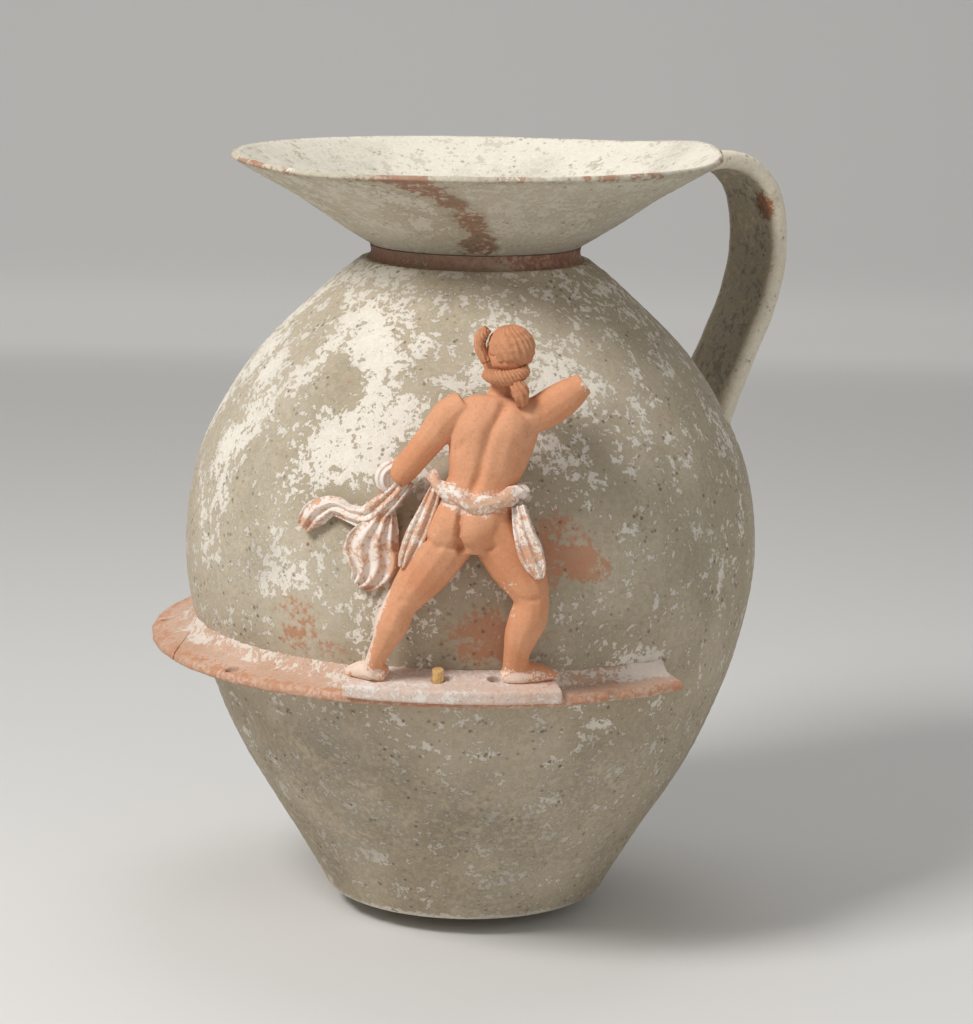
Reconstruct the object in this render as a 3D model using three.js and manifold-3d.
import * as THREE from 'three';
import { mergeVertices } from 'three/addons/utils/BufferGeometryUtils.js';
import Module from 'manifold-3d';

// A tall clay jar with a wide funnel mouth, a strap handle behind its right side and a peg shelf round
// its left and front. A striding figure with a wind-blown cloak stands on a plinth on the shelf.
// The origin is the middle of the foot's underside, +Z is up, and the figure stands at the front, on -Y.

const wasm = await Module();
wasm.setup();

// Driving dimensions in millimetres and degrees
const gap = 0.3;
const turnSegments = 48;
const footRadius = 142;
const bellyRadius = 292.6;
const bellyHeight = 360;
const shoulderTopRadius = 117;
const bodyHeight = 655;
const bodyWall = 10;
const floorThickness = 14;
const seamHeight = 253;
const seamBevel = 6;
const boreRadius = 91;

const stemRadius = 103.3;
const neckRingHeight = 14.2;
const neckRingProud = 7;
const lipRadius = 248;
const funnelHeight = 101;
const funnelWall = 7;
const lipThickness = 4.5;
const rimLiftAtHandle = 10;
const rimDipAtLeft = 3.2;

const handleAngle = 30;
const handleWidth = 92;
const handleThickness = 19.4;
const handleHollow = 5.5;
const handleReach = 347;

const shelfRadius = 321;
const shelfTopAtEdge = 272.4;
const shelfSlope = 14;
const shelfThickness = 8.5;
const shelfFillet = 12;
const shelfStart = -162;
const shelfCrackInner = -77;
const shelfCrackOuter = -65.4;
const shelfEnd = 42;
const shelfHoleRadius = 7;
const shelfHoleDistance = 313;
const openShelfHoles = [-90, -47, 27];

const plinthStart = -21;
const plinthEnd = 16;
const plinthRadius = 330;
const plinthThickness = 12.7;
const plinthHoleAngle = 5;
const plinthHoleDistance = 299;
const plinthHoleRadius = 6.8;
const wallClearance = 1;
const lutedJoint = 0.55;

const pegAngle = -5;
const pegDistance = 305;
const pegRadius = 5.6;
const pegHoleClearance = 0.35;
const pegStandsProud = 12;

const radians = THREE.MathUtils.degToRad;
const slope = Math.tan(radians(shelfSlope));

// Closed triangle meshes and the cuts between them

function signedVolume(geometry) {
  const corners = geometry.attributes.position;
  const index = geometry.index.array;
  const [a, b, c] = [new THREE.Vector3(), new THREE.Vector3(), new THREE.Vector3()];
  let sum = 0;
  for (let i = 0; i < index.length; i += 3) {
    a.fromBufferAttribute(corners, index[i]);
    b.fromBufferAttribute(corners, index[i + 1]);
    c.fromBufferAttribute(corners, index[i + 2]);
    sum += a.dot(b.cross(c)) / 6;
  }
  return sum;
}

function welded(geometry) {
  geometry.deleteAttribute('normal');
  geometry.deleteAttribute('uv');
  const merged = mergeVertices(geometry, 1e-3);
  const index = merged.index.array;
  const kept = [];
  for (let i = 0; i < index.length; i += 3) {
    const [a, b, c] = [index[i], index[i + 1], index[i + 2]];
    if (a !== b && b !== c && c !== a) kept.push(a, b, c);
  }
  merged.setIndex(kept);
  if (signedVolume(merged) < 0) merged.setIndex(kept.reverse());
  return merged;
}

function solid(geometry) {
  const mesh = welded(geometry);
  return new wasm.Manifold(new wasm.Mesh({
    numProp: 3,
    vertProperties: new Float32Array(mesh.attributes.position.array),
    triVerts: new Uint32Array(mesh.index.array),
  }));
}

function surface(manifold) {
  const mesh = manifold.getMesh();
  const geometry = new THREE.BufferGeometry();
  geometry.setAttribute('position', new THREE.BufferAttribute(new Float32Array(mesh.vertProperties), 3));
  geometry.setIndex(Array.from(mesh.triVerts));
  return geometry;
}

// What stays after a cut is the piece that holds most of the clay; crumbs cut loose by it go
function cut(body, ...tools) {
  let rest = body;
  for (const tool of tools) rest = rest.subtract(tool);
  const parts = rest.decompose();
  parts.sort((a, b) => Math.abs(signedVolume(surface(b))) - Math.abs(signedVolume(surface(a))));
  return parts[0];
}

// A profile of radius and height turned round the jar's axis
function turned(profile) {
  const points = profile.map(([radius, height]) => new THREE.Vector2(radius, height));
  return new THREE.LatheGeometry(points, turnSegments).rotateX(Math.PI / 2);
}

function ringProfile(profile) {
  return turned([...profile, profile[0]]);
}

// A skin stretched over rings that all have the same number of points, closed by a cap at each end
function skin(rings) {
  const count = rings[0].length;
  const positions = rings.flat().flatMap((point) => [point.x, point.y, point.z]);
  const index = [];
  for (let i = 0; i < rings.length - 1; i++) {
    for (let j = 0; j < count; j++) {
      const next = (j + 1) % count;
      const [a, b] = [i * count + j, i * count + next];
      const [c, d] = [a + count, b + count];
      index.push(a, b, d, a, d, c);
    }
  }
  const last = (rings.length - 1) * count;
  for (const [a, b, c] of capTriangles(rings[0])) index.push(a, c, b);
  for (const [a, b, c] of capTriangles(rings.at(-1))) index.push(last + a, last + b, last + c);
  const geometry = new THREE.BufferGeometry();
  geometry.setAttribute('position', new THREE.Float32BufferAttribute(positions, 3));
  geometry.setIndex(index);
  return geometry;
}

function capTriangles(ring) {
  const normal = new THREE.Vector3();
  ring.forEach((point, i) => {
    const next = ring[(i + 1) % ring.length];
    normal.x += (point.y - next.y) * (point.z + next.z);
    normal.y += (point.z - next.z) * (point.x + next.x);
    normal.z += (point.x - next.x) * (point.y + next.y);
  });
  const across = new THREE.Vector3().subVectors(ring[1], ring[0]).normalize();
  const up = new THREE.Vector3().crossVectors(normal.normalize(), across);
  const flat = ring.map((point) => new THREE.Vector2(point.dot(across), point.dot(up)));
  const turnsLeft = ([a, b, c]) => {
    const side = new THREE.Vector2().subVectors(flat[b], flat[a]);
    return side.cross(new THREE.Vector2().subVectors(flat[c], flat[a])) > 0;
  };
  const faces = THREE.ShapeUtils.triangulateShape(flat, []);
  return faces.map((face) => (turnsLeft(face) ? face : [face[0], face[2], face[1]]));
}

// A closed profile of radius and height swept round the axis between two angles. Angles are measured
// from the front, -Y, towards +X.
function sector(profileAt, start, end, steps) {
  const rings = [];
  for (let i = 0; i <= steps; i++) {
    const share = i / steps;
    rings.push(profileAt(share).map(([radius, height, angle]) => {
      const turn = radians(angle ?? THREE.MathUtils.lerp(start, end, share));
      return new THREE.Vector3(radius * Math.sin(turn), -radius * Math.cos(turn), height);
    }));
  }
  return skin(rings);
}

// The jar's two thrown sections

const bodyCurve = new THREE.SplineCurve([
  ...[[0, 0], [0.229, 0.167], [0.627, 0.444], [0.885, 0.722], [1, 1]].map(([out, up]) => new THREE.Vector2(
    footRadius + (bellyRadius - footRadius) * out, bellyHeight * up)),
  ...[[0.092, 0.339], [0.374, 0.644], [0.794, 0.898], [1, 1]].map(([inward, up]) => new THREE.Vector2(
    bellyRadius - (bellyRadius - shoulderTopRadius) * inward, bellyHeight + (bodyHeight - bellyHeight) * up)),
]);
const bodySteps = 18;
const outerPoints = bodyCurve.getPoints(bodySteps);
const innerPoints = outerPoints.map((point, i) => {
  const tangent = bodyCurve.getTangent(i / bodySteps);
  return new THREE.Vector2(point.x - tangent.y * bodyWall, point.y + tangent.x * bodyWall);
});

function radiusAt(points, height) {
  const above = Math.min(points.length - 1, Math.max(1, points.findIndex((point) => point.y >= height)));
  const [low, high] = [points[above - 1], points[above]];
  return THREE.MathUtils.mapLinear(height, low.y, high.y, low.x, high.x);
}

const wallRadius = (height) => radiusAt(outerPoints, height);

function makeLowerBody() {
  const outside = outerPoints.filter((point) => point.y < seamHeight - 4).map((point) => [point.x, point.y]);
  const innerSeam = seamHeight + seamBevel;
  const inside = innerPoints
    .filter((point) => point.y > floorThickness + 8 && point.y < innerSeam - 4)
    .map((point) => [point.x, point.y]);
  return turned([
    [0, 0],
    ...outside,
    [wallRadius(seamHeight), seamHeight],
    [radiusAt(innerPoints, innerSeam), innerSeam],
    ...inside.reverse(),
    [footRadius - bodyWall - 6, floorThickness],
    [0, floorThickness],
  ]);
}

function makeUpperBody() {
  const lowEdge = seamHeight + gap;
  const lowInner = lowEdge + seamBevel;
  const outside = outerPoints.filter((point) => point.y > lowEdge + 4).map((point) => [point.x, point.y]);
  const inside = innerPoints
    .filter((point) => point.y > lowInner + 4 && point.y < bodyHeight - 24)
    .map((point) => [point.x, point.y]);
  return ringProfile([
    [wallRadius(lowEdge), lowEdge],
    ...outside,
    [boreRadius + 1, bodyHeight],
    [boreRadius + 1, bodyHeight - 7],
    [boreRadius + 8, bodyHeight - 11],
    ...inside.reverse(),
    [radiusAt(innerPoints, lowInner), lowInner],
  ]);
}

// Everything within the jar's outer surface, for seating pieces on it with a given gap
function bodyEnvelope(clearance) {
  const grown = outerPoints.map((point) => [point.x + clearance, point.y]);
  return solid(turned([[0, 0], ...grown, [0, bodyHeight]]));
}

// Neck ring, funnel and its uneven rim

const stemFoot = bodyHeight + gap;
const ringTop = stemFoot + neckRingHeight;
const flareFoot = ringTop + gap;
const lipHeight = bodyHeight + funnelHeight;
const flareCurve = [[0, 0], [0.218, 0.221], [0.514, 0.541], [0.718, 0.735], [0.9, 0.9], [1, 1]];
const flareStart = stemRadius + 2.7;

function flarePoint([out, up]) {
  return [
    flareStart + (lipRadius - flareStart) * out,
    flareFoot + (lipHeight - flareFoot) * up,
  ];
}

function makeNeckRing() {
  const inner = stemRadius + gap;
  const waist = inner + neckRingProud / 2 - 0.6;
  return ringProfile([
    [inner, stemFoot],
    [inner + neckRingProud, stemFoot],
    [waist + 1.4, stemFoot + neckRingHeight * 0.24],
    [waist, stemFoot + neckRingHeight * 0.6],
    [waist + 0.8, ringTop],
    [inner, ringTop],
  ]);
}

// The rim rises where the handle pulls on it and dips at the far left of the front
function rimWave(angle) {
  const from = (centre) => THREE.MathUtils.euclideanModulo(angle - centre + 180, 360) - 180;
  const lift = rimLiftAtHandle * Math.exp(-((from(18) / 26) ** 2));
  const dip = rimDipAtLeft * Math.exp(-((from(-128) / 20) ** 2));
  return lift - dip + 0.7 * Math.cos(radians(2 * angle));
}

function waved(geometry) {
  const corners = geometry.attributes.position;
  const softStart = flareFoot + 25;
  for (let i = 0; i < corners.count; i++) {
    const height = corners.getZ(i);
    const share = THREE.MathUtils.smoothstep(height, softStart, lipHeight);
    const angle = THREE.MathUtils.radToDeg(Math.atan2(corners.getY(i), corners.getX(i)));
    const away = Math.hypot(corners.getX(i), corners.getY(i)) > 1 ? 1 : 0;
    corners.setZ(i, height + away * share * rimWave(angle));
  }
  return geometry;
}

function makeFunnel() {
  const outside = flareCurve.map(flarePoint);
  const rise = Math.atan2(lipHeight - flareFoot, lipRadius - flareStart);
  const inside = outside.slice(1, -1).map(([radius, height]) => [
    radius - Math.sin(rise) * funnelWall,
    height + Math.cos(rise) * funnelWall,
  ]);
  return waved(ringProfile([
    [boreRadius, stemFoot],
    [stemRadius, stemFoot],
    [stemRadius, flareFoot],
    ...outside,
    [lipRadius - 0.4, lipHeight + lipThickness * 0.6],
    [lipRadius - lipThickness * 0.6, lipHeight + lipThickness],
    ...inside.reverse(),
    [boreRadius + 6, flareFoot + 5],
    [boreRadius, flareFoot - 4],
  ]));
}

function funnelEnvelope(clearance) {
  const grown = flareCurve.map(flarePoint).map(([radius, height]) => [radius + clearance, height - clearance]);
  const top = lipHeight + 60;
  return solid(waved(turned([
    [0, stemFoot],
    [flareStart + clearance, stemFoot],
    ...grown,
    [lipRadius + clearance, top],
    [0, top],
  ])));
}

// The strap handle: a broad band, hollowed on its inner face, bent over from the lip to the shoulder

function makeHandle() {
  const turn = radians(handleAngle);
  const outward = new THREE.Vector3(Math.cos(turn), Math.sin(turn), 0);
  const sideways = new THREE.Vector3(-Math.sin(turn), Math.cos(turn), 0);
  const route = [
    [handleReach - 111, lipHeight - 12], [handleReach - 83, lipHeight - 4.5],
    [handleReach - 55, lipHeight - 6.5], [handleReach - 32, lipHeight - 17],
    [handleReach - 12, lipHeight - 38], [handleReach - 3, lipHeight - 64],
    [handleReach, lipHeight - 92], [handleReach - 3, lipHeight - 124],
    [handleReach - 14, lipHeight - 164], [handleReach - 35, lipHeight - 208],
    [handleReach - 57, lipHeight - 256], [handleReach - 79, lipHeight - 304],
  ];
  const path = new THREE.CatmullRomCurve3(route.map(([reach, height]) =>
    outward.clone().multiplyScalar(reach).setZ(height)));
  const half = handleThickness / 2;
  const section = [
    [-1, 0.3], [-0.96, 0.75], [-0.86, 1], [-0.4, 1], [0, 1], [0.4, 1], [0.86, 1], [0.96, 0.75], [1, 0.3],
    [0.98, -0.6], [0.9, -0.97], [0.8, -1], [0.55, -0.62], [0.25, 0], [-0.25, 0], [-0.55, -0.62],
    [-0.8, -1], [-0.9, -0.97], [-0.98, -0.6],
  ];
  const steps = 20;
  const rings = [];
  for (let i = 0; i <= steps; i++) {
    const share = i / steps;
    const centre = path.getPoint(share);
    const along = path.getTangent(share);
    const up = new THREE.Vector3().crossVectors(sideways, along);
    const flare = 1 + 0.12 * Math.abs(2 * share - 1) ** 3;
    rings.push(section.map(([across, thick]) => {
      const hollow = thick === 0 ? -half + handleHollow : thick * half;
      return centre.clone()
        .addScaledVector(sideways, across * flare * handleWidth / 2)
        .addScaledVector(up, hollow);
    }));
  }
  return cut(solid(skin(rings)), bodyEnvelope(gap), funnelEnvelope(gap));
}

// The peg shelf, in two pieces parted by a mended crack, and the plinth that stands on it

const shelfTop = (radius) => shelfTopAtEdge + (shelfRadius - radius) * slope;

function shelfProfile(angle) {
  const edge = shelfRadius - 6.5 * Math.sin(radians(angle)) - 2.4 * Math.cos(radians(angle));
  const underside = (radius) => shelfTop(radius) - shelfThickness;
  const wallLow = wallRadius(underside(300));
  const wallHigh = wallRadius(shelfTop(290));
  return [
    [wallLow - 18, seamHeight - 5],
    [wallLow - 1, underside(wallLow) - shelfFillet - 8],
    [wallLow + shelfFillet, underside(wallLow + shelfFillet)],
    [edge - 1.5, underside(edge)],
    [edge, underside(edge) + 2],
    [edge, shelfTop(edge) - 1.8],
    [edge - 2, shelfTop(edge - 2)],
    [wallHigh + shelfFillet, shelfTop(wallHigh + shelfFillet)],
    [wallHigh + 3, shelfTop(wallHigh) + shelfFillet - 1],
    [wallHigh - 20, shelfTop(wallHigh) + shelfFillet + 2],
  ];
}

// A straight hole or peg square to the shelf's sloping top, between two heights above that top
function squareToShelf(angle, distance, radius, low, high) {
  const turn = radians(angle);
  const out = new THREE.Vector3(Math.sin(turn), -Math.cos(turn), 0);
  const seat = out.clone().multiplyScalar(distance).setZ(shelfTop(distance));
  const axis = out.clone().multiplyScalar(Math.sin(radians(shelfSlope))).setZ(Math.cos(radians(shelfSlope)));
  const stick = new THREE.CylinderGeometry(radius, radius, high - low, 16);
  stick.translate(0, (high + low) / 2, 0);
  stick.applyQuaternion(new THREE.Quaternion().setFromUnitVectors(new THREE.Vector3(0, 1, 0), axis));
  return stick.translate(seat.x, seat.y, seat.z);
}

const shelfHoles = openShelfHoles.map((angle) =>
  solid(squareToShelf(angle, shelfHoleDistance, shelfHoleRadius, -30, 30)));
const pegHole = solid(squareToShelf(pegAngle, pegDistance, pegRadius + pegHoleClearance, -30, 60));

function crackSide(angleGap) {
  const lean = (shelfCrackOuter - shelfCrackInner) / (shelfRadius - 284);
  return (radius) => shelfCrackInner + (radius - 284) * lean + angleGap;
}

function shelfPiece(start, end, startCrack, endCrack, steps) {
  const profileAt = (share) => {
    const middle = THREE.MathUtils.lerp(start, end, share);
    return shelfProfile(middle).map(([radius, height]) => {
      const first = startCrack ? startCrack(radius) : start;
      const final = endCrack ? endCrack(radius) : end;
      return [radius, height, THREE.MathUtils.lerp(first, final, share)];
    });
  };
  return solid(sector(profileAt, start, end, steps));
}

const crackGap = THREE.MathUtils.radToDeg(gap / 300) * 2.2;

function plinthProfile(lift, height, inset, rim) {
  const top = (radius) => shelfTop(radius) + lift + height;
  const floor = (radius) => shelfTop(radius) + lift;
  const [back, front] = [266, plinthRadius + inset];
  return [
    [back, floor(back)],
    [front - rim, floor(front - rim)],
    [front, floor(front) + rim],
    [front, top(front) - rim],
    [front - rim, top(front - rim)],
    [back, top(back)],
  ];
}

const plinthLift = gap / Math.cos(radians(shelfSlope));
const plinthHeight = plinthThickness / Math.cos(radians(shelfSlope));

function makePlinth() {
  const profile = plinthProfile(plinthLift, plinthHeight, 0, 1.4);
  const block = solid(sector(() => profile, plinthStart, plinthEnd, 6));
  const openHole = solid(squareToShelf(plinthHoleAngle, plinthHoleDistance, plinthHoleRadius, -2, 40));
  return cut(block, bodyEnvelope(wallClearance), pegHole, openHole);
}

function makeShelfLeft() {
  const piece = shelfPiece(shelfStart, -71, null, crackSide(-crackGap), 12);
  return cut(piece, bodyEnvelope(gap), shelfHoles[0]);
}

function makeShelfFront() {
  const piece = shelfPiece(-71, shelfEnd, crackSide(0), null, 15);
  const recess = plinthProfile(0, 40, 4, 0.1);
  const clear = THREE.MathUtils.radToDeg(1 / 300);
  const seat = solid(sector(() => recess, plinthStart - clear, plinthEnd + clear, 6));
  return cut(piece, bodyEnvelope(gap), seat, shelfHoles[1], shelfHoles[2], pegHole);
}

function makePeg() {
  return squareToShelf(pegAngle, pegDistance, pegRadius, -shelfThickness, plinthThickness + gap + pegStandsProud);
}

// Limbs and cloth of the figure. Each station is x, y, z, half width and half depth, and the width
// lies across the limb as seen from the front.

function limb(stations, grow = 0, { sides = 12, steps = 2, folds = 0, wave = 0 } = {}) {
  const centres = new THREE.CatmullRomCurve3(stations.map(([x, y, z]) => new THREE.Vector3(x, y, z)));
  const sizes = new THREE.CatmullRomCurve3(stations.map((place) => new THREE.Vector3(place[3], place[4], 0)));
  centres.curveType = 'catmullrom';
  sizes.curveType = 'catmullrom';
  const count = (stations.length - 1) * steps;
  const depthwise = new THREE.Vector3(0, -1, 0);
  const rings = [];
  for (let i = 0; i <= count; i++) {
    const along = centres.getTangent(i / count);
    const across = new THREE.Vector3().crossVectors(along, depthwise).normalize();
    const forward = new THREE.Vector3().crossVectors(across, along);
    const centre = centres.getPoint(i / count);
    if (i === 0) centre.addScaledVector(along, -grow);
    if (i === count) centre.addScaledVector(along, grow);
    const size = sizes.getPoint(i / count);
    const ring = [];
    for (let j = 0; j < sides; j++) {
      const turn = 2 * Math.PI * j / sides;
      const pleat = wave * Math.sin(Math.PI * folds * Math.cos(turn) + 3 * i / count);
      ring.push(centre.clone()
        .addScaledVector(across, (size.x + grow) * Math.cos(turn))
        .addScaledVector(forward, (size.y + grow) * Math.sin(turn) + pleat));
    }
    rings.push(ring);
  }
  return solid(skin(rings));
}

function ball([x, y, z], [width, depth, height], grow = 0, tilt = 0) {
  const round = new THREE.SphereGeometry(1, 14, 8);
  round.rotateX(Math.PI / 2);
  round.scale(width + grow, depth + grow, height + grow);
  round.rotateY(radians(tilt));
  return solid(round.translate(x, y, z));
}

const plinthTop = plinthLift + plinthHeight;

// Everything below the plinth's top, for seating the feet on it
function plinthEnvelope(clearance) {
  const top = (radius) => shelfTop(radius) + plinthTop + clearance;
  return solid(turned([[0, 200], [345, 200], [345, top(345)], [240, top(240)], [0, top(240)]]));
}

const torsoForm = (grow = 0) => limb([
  [3, -309, 416, 30, 19], [3, -309, 430, 40, 26], [4, -309, 447, 41, 27], [6, -308, 462, 36, 24],
  [10, -306, 478, 31, 20], [14, -304, 494, 35, 22], [18, -302, 512, 39, 24], [21, -300, 530, 42, 25],
  [22, -299, 545, 40, 22], [22.5, -298, 554, 31, 18], [23, -297, 560, 19, 13],
], grow, { sides: 16 });

const neckForm = (grow = 0) => limb([
  [24, -297, 552, 14, 13], [27, -295, 564, 11, 11.5], [31, -293, 584, 11.5, 12.5],
], grow, { sides: 10 });

const headForm = (grow = 0) => neckForm(grow)
  .add(ball([34, -293, 601], [21, 23, 23.5], grow, -8))
  .add(ball([24, -284, 590], [14, 15, 16], grow, -12));

const leftArmForm = (grow = 0) => limb([
  [-6, -299, 553, 13, 16], [-20, -300, 543, 16, 16], [-35, -301, 523, 14.5, 14.5],
  [-50, -301, 504, 13, 13], [-62, -299, 489, 12.5, 13], [-67, -296, 480, 9, 10],
], grow);

const rightArmForm = (grow = 0) => limb([
  [44, -299, 545, 15, 16], [60, -299, 544, 17, 17], [78, -298, 554, 17.5, 15.5],
  [92, -297, 564, 15.5, 13.5], [105, -296, 574, 10.5, 10.5],
], grow);

const leftLegForm = (grow = 0) => limb([
  [-10, -309, 438, 25, 23], [-21, -310, 424, 26, 24], [-38, -311, 398, 23.5, 23],
  [-55, -312, 375, 18, 20], [-65, -313, 360, 15, 18], [-71, -313, 344, 16, 18],
  [-79, -309, 325, 11, 14], [-88, -303, 303, 9, 10], [-90, -301, 292, 9, 10],
], grow).add(limb([
  [-76, -302, 293, 8, 9], [-88, -298, 295, 10, 11], [-101, -291, 294, 9, 10], [-113, -285, 291, 5, 7],
], grow, { sides: 10 }));

const rightLegForm = (grow = 0) => limb([
  [21, -310, 438, 25, 23], [33, -311, 421, 26, 24], [45, -312, 402, 25, 23], [56, -314, 383, 20, 20],
  [60, -314, 368, 16.5, 18], [57, -313, 352, 18, 18], [51, -310, 335, 16, 17],
  [47, -305, 317, 12.5, 14], [46, -301, 302, 12, 12], [46, -300, 292, 11, 12],
], grow).add(limb([
  [34, -302, 291, 7, 9], [47, -301, 295, 13, 12], [62, -298, 296, 11, 11], [75, -294, 294, 8, 9],
  [85, -290, 292, 5, 7],
], grow, { sides: 10 }));

const beltForm = (grow = 0) => limb([
  [-36, -303, 487, 5, 5], [-29, -321, 480, 6, 6], [-14, -330, 471, 7, 6], [5, -334, 464, 7.5, 6],
  [24, -331, 465, 7.5, 6], [38, -321, 470, 7, 6], [47, -309, 473, 6, 6],
], grow, { sides: 10 }).add(ball([50, -311, 472], [8, 8, 8], grow));

const drapeRightForm = (grow = 0) => limb([
  [46, -322, 461, 7, 5], [51, -331, 440, 10, 5], [58, -334, 418, 12, 5.5], [64, -335, 403, 9, 5],
  [66, -335, 395, 4, 3.5],
], grow, { sides: 16, folds: 1.5, wave: 1.8 });

const drapeLeftForm = (grow = 0) => limb([
  [-30, -318, 479, 6, 6], [-40, -320, 452, 9, 6], [-50, -321, 430, 10, 6], [-58, -321, 412, 7, 5],
  [-62, -321, 401, 4, 3.5],
], grow, { sides: 16, folds: 1.5, wave: 1.6 });

const onWall = (x, z, out) => -Math.sqrt((wallRadius(z) + out) ** 2 - x ** 2);

const cloakUpperForm = (grow = 0) => limb([
  [-58, -290, 478, 7, 8], [-68, -290, 466, 9, 8], [-81, -286, 453, 11, 8],
  [-97, onWall(-97, 440, 11), 440, 11.5, 8], [-113, onWall(-113, 441, 9), 441, 8.5, 8],
  [-130, onWall(-130, 446, 9), 446, 10, 8], [-147, onWall(-147, 437, 9), 437, 13, 8],
  [-158, onWall(-158, 423, 8), 423, 8, 6],
], grow, { sides: 16, folds: 1, wave: 2 });

const cloakLowerForm = (grow = 0) => limb([
  [-76, onWall(-76, 450, 12), 450, 7, 6], [-82, onWall(-82, 432, 11), 432, 17, 8],
  [-90, onWall(-90, 414, 9), 414, 27, 8], [-92, onWall(-92, 398, 8), 398, 27, 8],
  [-98, onWall(-98, 385, 8), 385, 19, 7], [-106, onWall(-106, 377, 7), 377, 9, 5],
], grow, { sides: 20, folds: 2.5, wave: 2.6 });

const cloakLoopForm = (grow = 0) => limb([
  [-52, -287, 496, 4, 7], [-66, -288, 494, 6, 8], [-80, -290, 486, 7, 9], [-82, -289, 474, 7, 9],
  [-74, -287, 462, 5, 7],
], grow, { sides: 10 });

const hairCapForm = (grow = 0) => ball([36, -297, 606], [22.5, 22.5, 21.5], grow, -10);
const napeRollForm = (grow = 0) => limb([
  [12, -306, 583, 4, 4], [20, -313, 581, 6.5, 6], [30, -316, 580, 7, 6.5], [42, -314, 582, 6.5, 6],
  [51, -306, 587, 4, 4],
], grow, { sides: 10 });
const hangingLockForm = (grow = 0) => limb([
  [40, -313, 577, 6, 6], [44, -317, 570, 8, 7.5], [46, -317, 562, 7, 7], [46, -314, 555, 4, 4],
], grow, { sides: 10 });
const sideCurlsForm = (grow = 0) => limb([
  [14, -300, 624, 4, 5], [8, -300, 617, 5.5, 7], [7, -300, 608, 5, 6.5], [10, -301, 600, 5, 6],
  [13, -302, 593, 4, 5],
], grow, { sides: 10 });

// The pieces of the figure, in the order in which they are laid against each other. A piece is cut
// back to a thin joint from each earlier one that it meets.
const figureForms = [
  ['figure_torso', torsoForm, 'clay'],
  ['figure_head', headForm, 'clay'],
  ['left_arm', leftArmForm, 'clay'],
  ['right_arm', rightArmForm, 'clay'],
  ['right_leg', rightLegForm, 'clay'],
  ['left_leg', leftLegForm, 'clay'],
  ['hip_belt', beltForm, 'slip'],
  ['hip_drape_right', drapeRightForm, 'slip'],
  ['hip_drape_left', drapeLeftForm, 'slip'],
  ['cloak_upper_lobe', cloakUpperForm, 'slip'],
  ['cloak_loop', cloakLoopForm, 'slip'],
  ['cloak_lower_lobe', cloakLowerForm, 'slip'],
  ['hair_cap', hairCapForm, 'clay'],
  ['nape_roll', napeRollForm, 'clay'],
  ['hanging_lock', hangingLockForm, 'clay'],
  ['side_curls', sideCurlsForm, 'clay'],
];

function makeFigure() {
  const seats = [bodyEnvelope(wallClearance), plinthEnvelope(gap)];
  return figureForms.map(([name, form, finish], place) => {
    const earlier = figureForms.slice(0, place).map((entry) => entry[1](lutedJoint));
    return [name, cut(form(), ...seats, ...earlier), finish];
  });
}

// Colours and the assembled jar

const finishes = {
  greySlip: new THREE.MeshStandardMaterial({ color: 0xb9b3a3, roughness: 0.85, metalness: 0 }),
  clay: new THREE.MeshStandardMaterial({ color: 0xc98f66, roughness: 0.85, metalness: 0 }),
  slip: new THREE.MeshStandardMaterial({ color: 0xe6ddd0, roughness: 0.9, metalness: 0 }),
  redClay: new THREE.MeshStandardMaterial({ color: 0xa9765a, roughness: 0.85, metalness: 0 }),
  peg: new THREE.MeshStandardMaterial({ color: 0xb98c50, roughness: 0.7, metalness: 0 }),
};

const jar = new THREE.Group();

function place(name, geometry, finish) {
  const mesh = new THREE.Mesh(geometry, finishes[finish]);
  mesh.name = name;
  jar.add(mesh);
}

place('lower_body', welded(makeLowerBody()), 'greySlip');
place('upper_body', welded(makeUpperBody()), 'greySlip');
place('neck_ring', welded(makeNeckRing()), 'redClay');
place('funnel', welded(makeFunnel()), 'greySlip');
place('strap_handle', surface(makeHandle()), 'slip');
place('shelf_left', surface(makeShelfLeft()), 'clay');
place('shelf_front', surface(makeShelfFront()), 'clay');
place('figure_plinth', surface(makePlinth()), 'slip');
place('plinth_peg', welded(makePeg()), 'peg');
for (const [name, piece, finish] of makeFigure()) place(name, surface(piece), finish);

export default jar;
